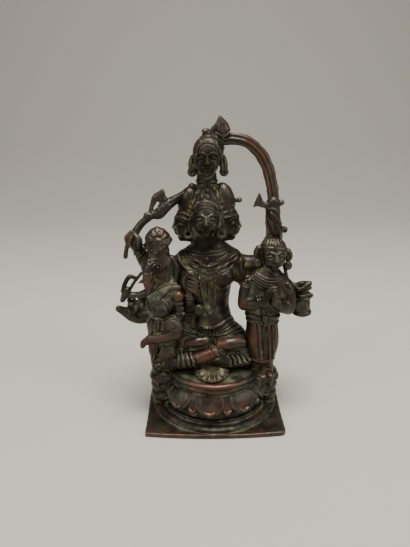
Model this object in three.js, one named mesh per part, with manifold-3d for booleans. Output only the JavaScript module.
// A small cast bronze: a five-headed deity seated on a lotus, with an elephant-headed figure
// and a standing attendant beside the seat, and a fluted stream falling in an arch from the
// top head. Everything is one casting, so it is one solid in one mesh.
// Millimetres, +Z up. The front faces -Y. The origin is the middle of the plinth's underside.

import * as THREE from "three";
import { mergeVertices } from "three/addons/utils/BufferGeometryUtils.js";
import Module from "manifold-3d";

// Driving dimensions
const PLINTH = { side: 66, thick: 2.2, corner: 1.6, frontBow: 2, overhang: 1.2 };
const RING = { radius: 31.6, top: 3.4 };
const LOTUS = {
  x: 0, y: -1.3, waist: 23.4, petals: 10, tipRadius: 27.6, tipHeight: 9.4, firstPetal: -96,
};
const SEAT = { radius: 25, low: 18.6, high: 23 };
const PEDESTAL = { x: 24.3, y: -4.5, radius: 7.6, low: 3, high: 20.6 };
const DEITY = { x: -2.6, y: 0, lap: 32, waist: 53, shoulder: 77, halfShoulder: 14.4 };
const HEADS = { x: -3.7, y: 0, height: 97.5, halfWidth: 6.2, halfHeight: 8.2, spread: 8.2 };
const TOP_HEAD = { x: -3.7, y: -1.5, height: 123.6, halfWidth: 5.8, halfHeight: 8 };
const ARCH = { halfWidth: 2.9, halfDepth: 2.2, flutes: 6, fluteDepth: 0.1, steps: 12 };
const ELEPHANT = { x: -25.5, y: -9.5, head: 80.5, belly: 58.5 };
const CROWN = { x: -25.4, root: 86.2, lobes: 5, halfWidth: 4.9, height: 7.4, firstTurn: -72, sweep: 138 };
const ATTENDANT = { x: 24, y: -8.5, feet: 20.4, hem: 27.5, hips: 50, shoulder: 70.5, head: 81.8 };
const DRUM = { x: 42, y: -4, low: 50.2, high: 65.4, radius: 4.5 };

// How much of its width a petal keeps at the tip
const TIP_NARROWING = 0.72;

// Fineness of the facets: sides of a limb, and of the bars laid on the surface
const SIDES = 7;
const BAR_SIDES = 5;
// Corners closer than WELD are one corner, and edges under SHORT_EDGE are closed up. Closing one
// leaves no face under SLIVER_AREA and turns none by more than the angle whose cosine is FOLD_LIMIT.
const WELD = 1e-4;
const SHORT_EDGE = 0.8;
const SLIVER_AREA = 1e-3;
const FOLD_LIMIT = 0.5;

const manifold = await Module();
manifold.setup();

// A rounded ellipsoid, turned about X, Y and Z by the given degrees.
function ball(centre, half, turn = [0, 0, 0], across = 7, down = 5) {
  const shape = new THREE.SphereGeometry(1, across, down);
  shape.rotateX(Math.PI / 2);
  shape.scale(...half);
  shape.rotateX(THREE.MathUtils.degToRad(turn[0]));
  shape.rotateY(THREE.MathUtils.degToRad(turn[1]));
  shape.rotateZ(THREE.MathUtils.degToRad(turn[2]));
  shape.translate(...centre);
  return shape;
}

// A round-ended bar along a smooth route, with a radius at each point of the route.
// depth flattens its section from front to back.
function limb(route, radii, depth = 1, sides = SIDES, capRings = 1) {
  const spans = route.length - 1;
  const curve = new THREE.CatmullRomCurve3(route.map((point) => new THREE.Vector3(...point)));
  const shape = new THREE.CapsuleGeometry(1, 1, capRings, sides, spans);
  const place = shape.attributes.position;
  for (let i = 0; i < place.count; i += 1) {
    const height = place.getY(i) + 0.5;
    const along = THREE.MathUtils.clamp(height, 0, 1);
    const span = Math.min(Math.floor(along * spans), spans - 1);
    const radius = THREE.MathUtils.lerp(radii[span], radii[span + 1], along * spans - span);
    const forward = curve.getTangent(along);
    const upright = Math.abs(forward.y) > 0.9 ? new THREE.Vector3(0, 0, 1) : new THREE.Vector3(0, 1, 0);
    const side = new THREE.Vector3().crossVectors(forward, upright).normalize();
    const front = new THREE.Vector3().crossVectors(side, forward);
    const spot = curve.getPoint(along);
    spot.addScaledVector(side, place.getX(i) * radius);
    spot.addScaledVector(front, place.getZ(i) * radius * depth);
    spot.addScaledVector(forward, (height - along) * radius);
    place.setXYZ(i, spot.x, spot.y, spot.z);
  }
  return shape;
}

// A turned form about a vertical axis. The profile runs from the axis out and back to it,
// as [radius, height] pairs.
function turned(profile, x, y, sides, depth = 1) {
  const points = profile.map(([radius, height]) => new THREE.Vector2(radius, height));
  const shape = new THREE.LatheGeometry(points, sides);
  shape.rotateX(Math.PI / 2);
  shape.scale(1, depth, 1);
  shape.translate(x, y, 0);
  return shape;
}

// A ring of round bar, tilted and scaled into an oval.
function hoop(centre, radius, bar, turn = [90, 0, 0], stretch = 1) {
  const shape = new THREE.TorusGeometry(radius, bar, 4, 10);
  shape.scale(1, stretch, 1);
  shape.rotateX(THREE.MathUtils.degToRad(turn[0]));
  shape.rotateY(THREE.MathUtils.degToRad(turn[1]));
  shape.rotateZ(THREE.MathUtils.degToRad(turn[2]));
  shape.translate(...centre);
  return shape;
}

// The square plate, whose front edge bows forward a little.
function plinth() {
  const back = PLINTH.side / 2 - PLINTH.corner;
  const front = back + PLINTH.overhang - PLINTH.frontBow;
  const outline = new THREE.Shape();
  outline.absarc(back, back, PLINTH.corner, 0, Math.PI / 2);
  outline.absarc(-back, back, PLINTH.corner, Math.PI / 2, Math.PI);
  outline.absarc(-back, -front, PLINTH.corner, Math.PI, 1.5 * Math.PI);
  outline.quadraticCurveTo(0, -front - PLINTH.corner - 2 * PLINTH.frontBow, back, -front - PLINTH.corner);
  outline.absarc(back, -front, PLINTH.corner, 1.5 * Math.PI, 2 * Math.PI);
  return new THREE.ExtrudeGeometry(outline, { depth: PLINTH.thick, bevelEnabled: false, curveSegments: 4 });
}

// The stepped ring, the drum behind the petals and the moulded rim with its dished seat.
function lotusBody() {
  const profile = [
    [0, 1],
    [RING.radius, 1],
    [RING.radius, RING.top - 0.5],
    [RING.radius - 1.2, RING.top],
    [RING.radius - 2, RING.top + 1.2],
    [RING.radius - 4.6, RING.top + 1.6],
    [LOTUS.waist + 0.4, 7.6],
    [LOTUS.waist + 0.4, 13],
    [SEAT.radius - 1.4, SEAT.low - 0.4],
    [SEAT.radius, SEAT.low + 0.8],
    [SEAT.radius, SEAT.high - 1],
    [SEAT.radius - 1.6, SEAT.high],
    [SEAT.radius - 4, SEAT.high + 0.2],
    [0, SEAT.high + 2],
  ];
  return turned(profile, LOTUS.x, LOTUS.y, 30);
}

// One drooping petal: it leaves the wall under the rim and bends down and outward to its tip.
function petal(angle, halfWidth, thick, tipHeight) {
  const shape = new THREE.SphereGeometry(1, 6, 5);
  const place = shape.attributes.position;
  const root = SEAT.low - 1;
  const turn = THREE.MathUtils.degToRad(angle);
  for (let i = 0; i < place.count; i += 1) {
    const across = place.getX(i);
    const proud = place.getZ(i);
    const down = (1 - place.getY(i)) / 2;
    const height = THREE.MathUtils.lerp(root, tipHeight, down);
    const swell = Math.sin(Math.min(down * 1.5, 1) * Math.PI / 2);
    const wall = LOTUS.waist - 0.6;
    const radius = wall + (LOTUS.tipRadius - wall) * swell + proud * thick;
    const spread = across * halfWidth * (down > 0.75 ? TIP_NARROWING : 1);
    const x = radius * Math.cos(turn) - spread * Math.sin(turn);
    const y = radius * Math.sin(turn) + spread * Math.cos(turn);
    place.setXYZ(i, LOTUS.x + x, LOTUS.y + y, height);
  }
  return shape;
}

function petals() {
  const step = 360 / LOTUS.petals;
  const shapes = [];
  for (let i = 0; i < LOTUS.petals; i += 1) {
    shapes.push(petal(LOTUS.firstPetal + i * step, 6.8, 1.7, LOTUS.tipHeight));
    shapes.push(petal(LOTUS.firstPetal + (i + 0.5) * step, 2.9, 1.5, LOTUS.tipHeight - 0.4));
  }
  return shapes;
}

// The stand of a side figure, with three round mouldings.
function pedestal(side) {
  const profile = [[0, PEDESTAL.low]];
  const mouldings = 3;
  const pitch = (PEDESTAL.high - PEDESTAL.low) / mouldings;
  for (let i = 0; i < mouldings; i += 1) {
    const low = PEDESTAL.low + i * pitch;
    profile.push([PEDESTAL.radius - 1.1, low + 0.1 * pitch]);
    profile.push([PEDESTAL.radius, low + 0.5 * pitch]);
    profile.push([PEDESTAL.radius - 1.1, low + 0.9 * pitch]);
  }
  profile.push([0, PEDESTAL.high]);
  return turned(profile, side * PEDESTAL.x, PEDESTAL.y, 11);
}

// Crossed legs: the shin in front climbs to the far thigh, and both soles rest on the lap.
function deityLegs() {
  const { x, lap } = DEITY;
  return [
    ball([x, 1, lap], [15, 10.5, 9], [0, 0, 0], 12, 8),
    limb([[x - 5, 0, lap + 5.6], [x - 12, -3.4, lap + 2.4], [x - 17, -8, lap - 3]], [8.4, 7.2, 5.2]),
    limb([[x + 6, 0, lap + 6], [x + 12, -3, lap + 3.6], [x + 17.4, -7, lap - 2]], [8.4, 7.4, 5.4]),
    limb([[x - 17, -11, 28.6], [x - 7, -13.6, 30.6], [x + 4, -13.2, 34.6]], [4.6, 4, 3.2]),
    limb([[x + 17, -9.5, 29], [x + 9, -12, 30], [x, -11, 31]], [4.8, 4, 3.4]),
    limb([[x - 12, -11, 38], [x - 6.5, -12, 38], [x - 2, -11.5, 38]], [2.6, 3.2, 2.8], 0.9),
    limb([[x + 5, -12, 37], [x + 10, -12.5, 37], [x + 16, -11, 37.4]], [2.6, 3.4, 2.8], 0.9),
    limb([[x - 13.4, -4, 54], [x - 12.4, -4, 44]], [4.5, 4.5], 0.8, 6),
  ];
}

// Pleats of the dress, spread like a fan on the seat in front of the shins.
function pleatedFan() {
  const hub = [DEITY.x + 0.9, -13];
  const reach = 9.6;
  const folds = 9;
  const shapes = [ball([hub[0], hub[1], 24.8], [reach - 0.4, reach, 2.4], [0, 0, 0], 14, 5)];
  for (let i = 0; i < folds; i += 1) {
    const turn = THREE.MathUtils.degToRad(-165 + (150 * i) / (folds - 1));
    const tip = [hub[0] + (reach + 0.3) * Math.cos(turn), hub[1] + (reach + 0.3) * Math.sin(turn), 24.4];
    const near = [hub[0] + 4 * Math.cos(turn), hub[1] + 4 * Math.sin(turn), 26.8];
    shapes.push(limb([near, tip], [0.7, 0.7], 1, BAR_SIDES));
  }
  return shapes;
}

function deityTorso() {
  const { x, lap, waist, shoulder, halfShoulder } = DEITY;
  const body = limb(
    [
      [x, 1, lap + 2],
      [x + 0.6, 0, waist - 8],
      [x + 0.7, 0, waist + 1],
      [x, -1, waist + 15],
      [x, -0.5, shoulder],
    ],
    [12, 10.4, 8.9, 11, 10.4],
    0.68,
    12,
  );
  const inner = halfShoulder - 3.4;
  const shoulders = limb(
    [[x - inner, 0, shoulder], [x, 0, shoulder + 2.6], [x + inner, 0, shoulder + 0.4]],
    [4.6, 6.6, 4.6],
    1,
    9,
  );
  const neck = limb([[x - 0.5, 0, shoulder], [x - 0.7, 0, 92]], [7.6, 7.2], 0.9, 10);
  const beltProfile = [[8, 43.6], [11.4, 43.6], [11.8, 45], [11.2, 46.4], [8, 46.4], [8, 43.6]];
  const belt = turned(beltProfile, x + 0.6, 0, 16, 0.7);
  return [body, shoulders, neck, belt];
}

// Bands of the broad collar meeting in a point, the garland below it and the dress hems.
function deityDress() {
  const { x, shoulder, halfShoulder } = DEITY;
  const shapes = [];
  const bands = 3;
  for (let i = 0; i < bands; i += 1) {
    const drop = 2.3 * i;
    const reach = halfShoulder - 5.4 + 1.4 * i;
    shapes.push(limb(
      [
        [x - reach, -3, shoulder + 3.6 - drop],
        [x - reach / 2, -7.4, shoulder + 0.8 - drop * 1.2],
        [x - 0.8, -8.6, shoulder - 1 - drop],
        [x + reach / 2, -7.4, shoulder + 1 - drop * 1.2],
        [x + reach, -3, shoulder + 4 - drop],
      ],
      [0.9, 0.9, 0.9, 0.9, 0.9],
      1,
      BAR_SIDES,
    ));
  }
  const garland = [
    [x - 4.8, -8, 71],
    [x - 4, -8, 58],
    [x + 0.6, -7.6, 52.2],
    [x + 3.2, -7.8, 58],
    [x + 3.4, -8.2, 68],
  ];
  shapes.push(limb(garland, [0.9, 0.9, 1, 0.9, 0.9], 1, BAR_SIDES));
  const leftHem = [[x - 15, -7, 36.5], [x - 9, -12.5, 34.4], [x - 1, -13, 35.4]];
  const rightHem = [[x + 3, -12, 42], [x + 10, -10, 40.4], [x + 17, -6, 37]];
  shapes.push(limb(leftHem, [1, 0.9, 0.9], 1, BAR_SIDES));
  shapes.push(limb(rightHem, [1, 0.9, 0.9], 1, BAR_SIDES));
  return shapes;
}

// The near arms of the deity: one hand is raised before the chest, beside a round fruit
// on a jointed stalk, and the other arms are fused into a mass behind the attendant.
function deityNearArms() {
  const { x, shoulder } = DEITY;
  const elbow = [x - 10.4, -6.5, 54.4];
  const wrist = [x - 9, -11, 64.5];
  const stalkX = x - 14;
  return [
    limb([[x - 11.6, -1.5, shoulder - 2], [x - 12.4, -3.5, 64], elbow], [4, 3.6, 3]),
    limb([elbow, wrist], [2.8, 2.2]),
    ball([x - 8.2, -12, 69], [3.1, 2.2, 5.2], [0, 14, 0]),
    ball([stalkX - 0.6, -13, 62.8], [2.8, 2.6, 3]),
    limb([[stalkX, -12.6, 60], [stalkX + 0.5, -12.4, 53.6]], [2.3, 1.9]),
    ball([x + 9, -7.6, 70], [4.4, 2.6, 4.6]),
  ];
}

// The far arms: one lifts the trident, one holds the drum and one rises behind the attendant.
function deityFarArms() {
  const { x, shoulder } = DEITY;
  return [
    limb(
      [
        [x - 11.5, 1, shoulder - 2],
        [-24, -2.4, 73],
        [-30.6, -4.4, 75.6],
        [-34.2, -5.4, 82],
        [-36.6, -6.2, 88],
      ],
      [4.6, 4.2, 3.4, 2.8, 2.8],
    ),
    ball([-37.4, -6.6, 89.2], [3.9, 2.8, 3.4], [0, -30, 0]),
    limb([[x + 11, 1, shoulder - 2], [16, 0.4, 73.4], [22.5, -1, 75]], [4.8, 4.8, 4.2], 0.9),
    limb(
      [[22.5, -1, 75], [26.4, -2.6, 83], [26.8, -4, 90], [25.6, -5, 98], [25.4, -5, 104.6]],
      [4.2, 3.7, 3.8, 3.4, 2.9],
      0.9,
    ),
    limb(
      [[x + 11, 1, shoulder - 6], [20, -0.6, 65.6], [31, -2.6, 61], [39, -3.8, 61.4]],
      [5.4, 4.2, 3, 2.4],
      0.9,
    ),
  ];
}

// Small things on the rising hand: a leaping antelope on a finger, a thumb and the end of a band.
function risingHandTrim() {
  return [
    limb([[24, -5.4, 103.6], [20.4, -6, 103.8]], [1.5, 1.2], 1, 6),
    limb([[19.1, -6, 108.4], [17.8, -6, 104.2]], [0.6, 1.2], 0.9, 6),
    limb([[19.1, -6, 108.4], [19.9, -6, 104.3]], [0.6, 1.6], 0.9, 6),
    limb([[25.6, -5, 104], [28.6, -5, 104.8]], [1.6, 1.5], 1, 6),
    limb([[27.6, -5, 91.5], [30.6, -5, 92.6]], [2.4, 1.2], 1, 6),
  ];
}

// A face turned to the given angle: a plain oval head with a nose and a chin.
function head(centre, half, facing) {
  const turn = THREE.MathUtils.degToRad(facing);
  const ahead = (distance, height) => [
    centre[0] + distance * Math.sin(turn),
    centre[1] - distance * Math.cos(turn),
    centre[2] + height,
  ];
  return [
    ball(centre, half, [0, 0, facing]),
    limb([ahead(half[1] * 0.9, half[2] * 0.1), ahead(half[1] * 0.98, -half[2] * 0.22)], [0.8, 1.2], 1, 6),
    ball(ahead(half[1] * 0.66, -half[2] * 0.74), [1.9, 1.6, 1.5], [0, 0, facing], 8, 5),
  ];
}

// Four heads round one neck, their crowns, the bands of their tiaras and the ear rings.
function headCluster() {
  const { x, y, height, halfWidth, halfHeight, spread } = HEADS;
  const half = [halfWidth, 6.4, halfHeight];
  const shapes = [
    ...head([x - 0.4, y - 4.4, height], half, 0),
    ...head([x - spread, y - 0.4, height - 3.4], [halfWidth - 0.2, 6.6, halfHeight + 0.6], -90),
    ...head([x + spread, y - 0.4, height - 3], [halfWidth - 0.2, 6.6, halfHeight + 0.6], 90),
    ...head([x, y + 4.2, height - 1.5], half, 180),
    ball([x, y, height + 1], [12, 7, 9], [0, 0, 0], 12, 7),
    ball([x - 8.4, y, height + 6.8], [4.9, 4.2, 6.8], [0, 20, 0]),
    ball([x + 8.2, y, height + 7.2], [4.9, 4.3, 7.5], [0, -16, 0]),
    limb([[x - 0.3, y - 5.6, height + 6], [x - 0.2, y - 4.4, height + 14.6]], [5.8, 1.2], 0.6, 8),
    hoop([x, y, height + 5.4], 9.2, 1.2, [0, 0, 0], 0.84),
    ball([x - 6.6, y - 1, height + 13.4], [1.9, 1.9, 1.9], [0, 0, 0], 8, 5),
    ball([x + 3, y - 4.4, height + 13], [1.2, 1.2, 1.2], [0, 0, 0], 6, 4),
    limb([[x + 10.6, y, height + 6], [x + 14.6, y, height + 7.2]], [0.9, 1.1], 1, 6),
  ];
  for (const side of [-1, 1]) {
    shapes.push(hoop([x + side * 7.4 - 1, y - 5.8, height - 6.8], 1.7, 0.9, [80, 0, 0]));
  }
  return shapes;
}

// The fifth head on its ringed neck, with long ears, heavy rings, a cap and its knob.
function topHead() {
  const { x, y, height, halfWidth, halfHeight } = TOP_HEAD;
  const shapes = [
    ...head([x, y - 0.6, height], [halfWidth, 6.8, halfHeight], 0),
    limb([[x, 0, height - 16], [x, 0, height - 6]], [5, 4.2], 0.9, 8),
    hoop([x, 0, height - 10.4], 4.6, 0.8, [0, 0, 0]),
    ball([x + 0.5, 0, height + 2.6], [halfWidth + 0.9, 6.8, halfHeight - 1.2]),
    limb([[x + 0.6, 0, height + 8], [x + 1, -1, height + 11.2]], [3.2, 1.3], 1, 6),
  ];
  for (const side of [-1, 1]) {
    const beside = x + 0.5 + side * 6.5;
    const lobe = [[beside - side * 0.6, 0.4, height + 2], [beside, -0.6, height - 4.6]];
    shapes.push(limb(lobe, [2, 1.6], 1, 6));
    shapes.push(ball([beside + side * 0.4, -0.9, height - 6.2], [2, 1.6, 2]));
  }
  return shapes;
}

// The pointed head from which the stream springs, and the strut that ties it to the cap.
function finial() {
  return [
    limb([[3, 0.6, 134], [2.6, 0.4, 137], [1.9, 0.2, 140.2]], [3.6, 2.4, 0.9]),
    limb([[-0.8, 0.4, 135.4], [1, 0.8, 131.6], [2.6, 1.2, 127.6]], [1.2, 1.7, 1.3], 1, 6),
    limb([[-2.2, 0.2, 131.8], [-1.3, 0.2, 134.5], [0.6, 0.2, 137.8]], [1.4, 1.1, 0.8], 1, BAR_SIDES),
  ];
}

// The stream: a fluted bar in a quarter arch, from the top head down to the rising hand.
function streamArch() {
  const outline = new THREE.Shape();
  const points = ARCH.flutes * 2;
  for (let i = 0; i < points; i += 1) {
    const turn = (2 * Math.PI * i) / points;
    const reach = i % 2 === 0 ? 1 : 1 - 2 * ARCH.fluteDepth;
    const spot = [ARCH.halfWidth * reach * Math.cos(turn), ARCH.halfDepth * reach * Math.sin(turn)];
    if (i === 0) {
      outline.moveTo(...spot);
    } else {
      outline.lineTo(...spot);
    }
  }
  const route = [
    [1.6, 1.4, 131],
    [8, 1.2, 131.4],
    [14.4, 0.8, 129.6],
    [19.8, 0, 124.9],
    [23.2, -1.4, 118],
    [25.2, -3.4, 109.6],
    [25.8, -4.8, 103.6],
  ];
  const extrudePath = new THREE.CatmullRomCurve3(route.map((point) => new THREE.Vector3(...point)));
  return new THREE.ExtrudeGeometry(outline, { steps: ARCH.steps, bevelEnabled: false, extrudePath });
}

// The trident: its tail below the fist, shaft, collar, flame-shaped prong and the long prong
// that is joined to the crown of the side head.
function trident() {
  const longProng = [[-29.5, -4.4, 98.4], [-25, -4, 100.4], [-19.6, -2.6, 103.8], [-10.4, -1, 110.6]];
  const flame = [[-28, -4, 100.6], [-25.8, -4, 105.6], [-23.2, -4, 108.4], [-23.6, -4, 111.6]];
  return [
    limb([[-41, -6.6, 80], [-40.4, -6.6, 86], [-36.6, -6.2, 91]], [1, 1.2, 1.6], 1, 6),
    limb([[-37, -6.2, 90.6], [-30, -4.8, 97.6]], [1.6, 1.8], 1, 8),
    ball([-29.8, -4.6, 98], [2.3, 2, 2.3], [0, 0, 0], 8, 5),
    limb(longProng, [2, 3.2, 1.9, 1.2]),
    limb(flame, [1.6, 2.3, 1.9, 0.6], 0.8),
  ];
}

// The small standing attendant with palms joined, in a long pleated dress.
function attendant() {
  const { x, y, feet, hem, hips, shoulder, head: headHeight } = ATTENDANT;
  const headX = x + 2;
  const shapes = [
    ...head([headX, y - 0.6, headHeight], [5.6, 5.3, 7.2], 8),
    ball([headX, y + 0.6, headHeight + 2.2], [6, 5.3, 5.6]),
    hoop([headX, y + 0.7, headHeight + 3], 5.4, 0.6, [-14, 4, 0], 0.92),
    limb([[headX - 0.6, y, headHeight - 5], [x + 0.4, y, shoulder - 1]], [3.4, 4]),
    limb([[x - 7.6, y, shoulder - 1], [x, y, shoulder + 0.6], [x + 8.6, y, shoulder - 3.6]], [3.1, 4, 3.1]),
    limb([[x, y, shoulder - 3], [x - 0.4, y, 61], [x - 1.2, y, hips + 2]], [8.6, 8, 6.6], 0.62, 10),
    limb(
      [[x - 1.4, y, hips + 0.6], [x - 1.4, y - 0.4, hips - 11], [x - 0.8, y - 0.4, hem + 3]],
      [7.6, 7.4, 6.2],
      0.76,
      12,
    ),
    hoop([x - 1.4, y, hips + 1.6], 7.1, 0.9, [0, 0, 0], 0.74),
    limb([[x - 8.6, y, shoulder - 1.4], [x - 10.4, y - 1.4, 59]], [3, 2.9]),
    limb([[x - 10.2, y - 1.8, 58.6], [x - 2.6, y - 7.4, 62.6]], [3, 2.2]),
    limb([[x + 9.2, y, shoulder - 4], [x + 10.8, y - 1.4, 56.4]], [3, 3]),
    limb([[x + 10.4, y - 1.8, 55.6], [x + 2.6, y - 7.6, 61.6]], [3.1, 2.2]),
    limb([[x - 2.4, y - 8, 61.6], [x - 0.6, y - 9, 66], [x + 1.6, y - 9.4, 70]], [2.5, 2.3, 1.1], 0.8),
  ];
  for (const side of [-1, 1]) {
    const leg = x - 1 + side * 3.2;
    shapes.push(limb([[leg, y - 0.6, hem + 3], [leg, y - 0.6, feet]], [3.2, 2.5], 1, 8));
    shapes.push(ball([leg + side * 0.5, y - 4, feet + 1.4], [2.4, 4, 1.9], [0, 0, side * 12], 8, 5));
    const ear = headX + side * 6.4 + 0.3;
    const lobe = [[ear, y + 0.6, headHeight + 3 - side], [ear, y + 0.4, headHeight - 3.6 - side]];
    shapes.push(limb(lobe, [2, 1.7], 0.8));
  }
  const pleats = [-4.4, -1.2, 0.8, 5];
  for (const offset of pleats) {
    const fold = [[x - 1.4 + offset, y - 5.2, hips - 2], [x - 1 + offset * 0.9, y - 5, hem + 1.4]];
    shapes.push(limb(fold, [1.1, 1], 1, BAR_SIDES));
  }
  return shapes;
}

// The drum at the end of the far arm, with the fist closed on its flared top.
function drum() {
  const { x, y, low, high, radius } = DRUM;
  const profile = [
    [0, low],
    [radius, low],
    [radius, low + 1.4],
    [radius - 0.9, low + 3.2],
    [radius - 0.8, low + 7.6],
    [radius - 0.4, low + 8.6],
    [radius - 1, low + 9.6],
    [radius - 2, low + 11],
    [radius - 1.9, low + 13],
    [radius - 0.8, high - 1],
    [radius - 1.4, high],
    [0, high],
  ];
  return [
    turned(profile, x, y, 12),
    limb([[37.6, -4.4, 63.8], [41, -5.6, 66], [43.6, -5, 64.6]], [1.5, 1.6, 1.5], 1, 6),
    ball([x + 4, y, low + 9.2], [1.3, 1.1, 1.1], [0, 0, 0], 6, 4),
  ];
}

// The elephant-headed figure: crown, head, ringed trunk, ear, belly, folded and hanging legs.
function elephantFigure() {
  const { x, y, head: headHeight, belly } = ELEPHANT;
  const trunk = [
    [x - 3.1, y - 3.9, headHeight - 1.8],
    [x - 4.4, y - 6.1, 76.2],
    [x - 4.7, y - 7.1, 72.8],
    [x - 4, y - 6.7, 69.3],
    [x - 4.3, y - 6.1, 66.6],
  ];
  const ear = [[x + 4.2, y + 1, headHeight + 2], [x + 6.4, y + 0.6, 74], [x + 7, y + 0.6, 68.6]];
  const shapes = [
    ball([x, y, headHeight + 0.6], [5.4, 5.2, 7.4]),
    ball([x - 1.8, y - 1.4, headHeight - 3.3], [6, 4.6, 5.6], [0, 0, 0], 8, 5),
    ball([x - 0.2, y, CROWN.root + 3.2], [5.4, 4.6, 4.6]),
    limb(trunk, [3.4, 2.9, 2.6, 2.2, 1.6]),
    limb([[x - 5.6, y - 6.5, 72.2], [x - 8.4, y - 7.1, 71.3]], [1.2, 0.6], 1, 6),
    limb(ear, [2.8, 3.4, 2.2], 0.7),
    limb([[x, y + 1, 74], [x + 0.6, y, 64]], [6.6, 6.8], 0.8, 10),
    ball([x + 0.2, y - 1.8, belly], [6.2, 6.2, 6.6]),
    ball([x + 0.7, y - 5.7, belly - 1.3], [3.9, 3, 3.2], [0, 0, 0], 8, 5),
    ball([x + 0.6, y + 0.6, 48], [7.4, 6.4, 7]),
    limb([[x + 1.6, y - 3, 49], [x + 7, y - 4.4, 47.4]], [4.6, 4.2]),
    limb([[x + 7.4, y - 5, 45], [x + 1, y - 5.6, 43.4], [x - 4.6, y - 6, 43]], [3.2, 3, 2.1]),
    limb([[x - 4.8, y - 6, 43], [x - 8.2, y - 6, 39.2]], [2, 1.4]),
    limb([[x - 2, y - 1, 46], [x - 2, y - 1, 34], [x - 1, y, 22]], [4.4, 4.2, 4.4]),
    limb([[x + 3.4, y - 1, 42], [x + 3, y - 2, 33], [x + 3, y, 21]], [4.6, 4.6, 4.6]),
    ball([x + 1, y - 3.4, 36], [5, 3.6, 3.4]),
    limb([[x + 5, y - 1, 67], [x + 8.4, y - 2.6, 64.4], [x + 8.6, y - 3, 51]], [3, 2.4, 2.4], 0.9),
    ball([x + 0.4, y - 4.6, 24], [4.6, 3.8, 4]),
    limb([[x + 1, y + 4.6, 20], [x + 1, y + 5, 70]], [5, 5], 0.8, 8),
  ];
  const rings = 3;
  for (let i = 0; i < rings; i += 1) {
    const centre = [x - 3.4 - 0.6 * i, y - 4.8 - 0.9 * i, headHeight - 3 - 2.6 * i];
    shapes.push(hoop(centre, 3.1 - 0.3 * i, 0.8, [-30, -10, 0]));
  }
  for (let i = 0; i < CROWN.lobes; i += 1) {
    const turn = THREE.MathUtils.degToRad(CROWN.firstTurn + (CROWN.sweep * i) / (CROWN.lobes - 1));
    const tipX = CROWN.x + CROWN.halfWidth * Math.sin(turn);
    const tip = [tipX, y, CROWN.root + CROWN.height * Math.cos(turn)];
    shapes.push(limb([[x - 0.5, y, CROWN.root], tip], [3, 1.5], 1.4, 6));
  }
  return shapes;
}

// The side arms of the elephant-headed figure, with a noose and a goad in one hand.
function elephantArms() {
  const fist = [-41.2, -11, 63];
  return [
    limb([[-28.5, -10.5, 65], [-35, -11, 62.8], fist], [2.8, 2, 1.9]),
    ball([-41.6, -11, 62.6], [1.9, 1.9, 3.6], [0, -14, 0], 8, 5),
    limb([fist, [-33.4, -9.6, 73.2]], [0.9, 0.9], 1, 6),
    limb([fist, [-41.4, -10.4, 68.6], [-38.8, -10, 72], [-36, -9.8, 69.6]], [1, 1.1, 1.2, 1], 1, 6),
    limb(
      [[-30, -8.6, 52], [-36.2, -8.6, 49.4], [-41, -10.4, 53.4], [-45.4, -12, 57.6]],
      [3.4, 2.9, 2.6, 1.1],
      0.9,
    ),
    limb([[-31, -9.4, 57.6], [-38.4, -10, 57.4]], [4.2, 3], 0.5, 8),
  ];
}

// A shape as a solid: shared corners merged, thin ends dropped and faces turned outward.
function solidOf(shape) {
  const bare = shape.index ? shape.toNonIndexed() : shape.clone();
  bare.deleteAttribute("normal");
  bare.deleteAttribute("uv");
  const merged = mergeVertices(bare, WELD);
  const corners = merged.index.array;
  const place = merged.attributes.position;
  const faces = [];
  let volume = 0;
  for (let i = 0; i < corners.length; i += 3) {
    const [a, b, c] = [corners[i], corners[i + 1], corners[i + 2]];
    if (a !== b && b !== c && c !== a) {
      const points = [a, b, c].map((corner) => new THREE.Vector3().fromBufferAttribute(place, corner));
      volume += points[0].dot(points[1].cross(points[2]));
      faces.push([a, b, c]);
    }
  }
  const outward = volume > 0 ? faces : faces.map(([a, b, c]) => [a, c, b]);
  const mesh = new manifold.Mesh({
    numProp: 3,
    vertProperties: new Float32Array(place.array),
    triVerts: new Uint32Array(outward.flat()),
  });
  return new manifold.Manifold(mesh);
}

// Joins shapes that belong to one casting into a single solid.
function cast(shapes) {
  return shapes.map(solidOf).reduce((whole, next) => whole.add(next));
}

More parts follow.
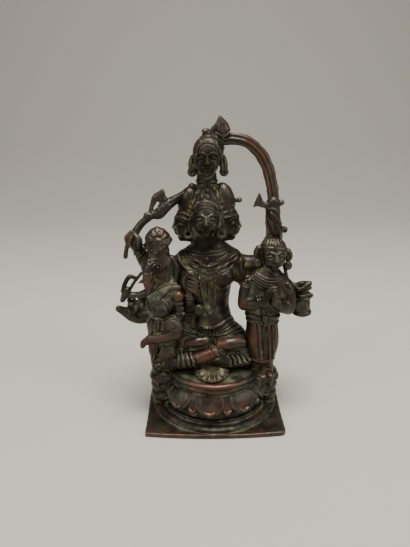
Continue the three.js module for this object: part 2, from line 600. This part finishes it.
// Joining leaves slivers along every seam. This closes the edges shorter than the given length,
// shortest first, wherever that neither pinches the surface nor folds a face over.
function closeShortEdges(coordinates, corners, longest) {
  const points = [];
  for (let i = 0; i < coordinates.length; i += 3) {
    points.push(new THREE.Vector3(coordinates[i], coordinates[i + 1], coordinates[i + 2]));
  }
  const faces = [];
  const facesAt = points.map(() => new Set());
  for (let i = 0; i < corners.length; i += 3) {
    const face = [corners[i], corners[i + 1], corners[i + 2]];
    face.forEach((corner) => facesAt[corner].add(faces.length));
    faces.push(face);
  }
  const neighbours = (point) => {
    const around = [...facesAt[point]].flatMap((face) => faces[face]);
    return new Set(around.filter((other) => other !== point));
  };
  const normal = ([a, b, c]) => {
    const second = new THREE.Vector3().subVectors(c, a);
    return new THREE.Vector3().subVectors(b, a).cross(second);
  };
  const folds = (keep, drop, middle) => [...facesAt[keep], ...facesAt[drop]].some((index) => {
    const face = faces[index];
    if (face.includes(keep) && face.includes(drop)) {
      return false;
    }
    const before = normal(face.map((corner) => points[corner]));
    const moved = (corner) => (corner === keep || corner === drop ? middle : points[corner]);
    const after = normal(face.map(moved));
    return after.length() < SLIVER_AREA || before.normalize().dot(after.normalize()) < FOLD_LIMIT;
  });
  let closed = true;
  while (closed) {
    closed = false;
    const edges = [];
    for (const face of faces.filter(Boolean)) {
      for (let i = 0; i < 3; i += 1) {
        const [a, b] = [face[i], face[(i + 1) % 3]];
        const length = points[a].distanceTo(points[b]);
        if (a < b && length < longest) {
          edges.push({ a, b, length });
        }
      }
    }
    edges.sort((first, second) => first.length - second.length);
    for (const { a, b, length } of edges) {
      const shared = [...neighbours(a)].filter((point) => neighbours(b).has(point));
      const moved = points[a].distanceTo(points[b]) !== length;
      const middle = new THREE.Vector3().addVectors(points[a], points[b]).multiplyScalar(0.5);
      if (!moved && facesAt[b].size > 0 && shared.length === 2 && !folds(a, b, middle)) {
        for (const index of facesAt[b]) {
          const face = faces[index];
          if (face.includes(a)) {
            face.forEach((corner) => corner !== b && facesAt[corner].delete(index));
            faces[index] = null;
          } else {
            face[face.indexOf(b)] = a;
            facesAt[a].add(index);
          }
        }
        facesAt[b].clear();
        points[a].copy(middle);
        closed = true;
      }
    }
  }
  const result = new THREE.BufferGeometry().setFromPoints(points);
  result.setIndex(faces.filter(Boolean).flat());
  return mergeVertices(result.toNonIndexed(), WELD);
}

const bronze = cast([
  plinth(),
  lotusBody(),
  ...petals(),
  pedestal(-1),
  pedestal(1),
  ...deityLegs(),
  ...pleatedFan(),
  ...deityTorso(),
  ...deityDress(),
  ...deityNearArms(),
  ...deityFarArms(),
  ...risingHandTrim(),
  ...headCluster(),
  ...topHead(),
  ...finial(),
  streamArch(),
  ...trident(),
  ...attendant(),
  ...drum(),
  ...elephantFigure(),
  ...elephantArms(),
]);

const { vertProperties, triVerts } = bronze.getMesh();
const geometry = closeShortEdges(vertProperties, triVerts, SHORT_EDGE);
geometry.computeVertexNormals();

const patina = new THREE.MeshStandardMaterial({ color: 0x3a2c22, roughness: 0.42, metalness: 0.9 });
const statue = new THREE.Mesh(geometry, patina);
statue.name = "bronze_statue";

const group = new THREE.Group();
group.add(statue);
export default group;
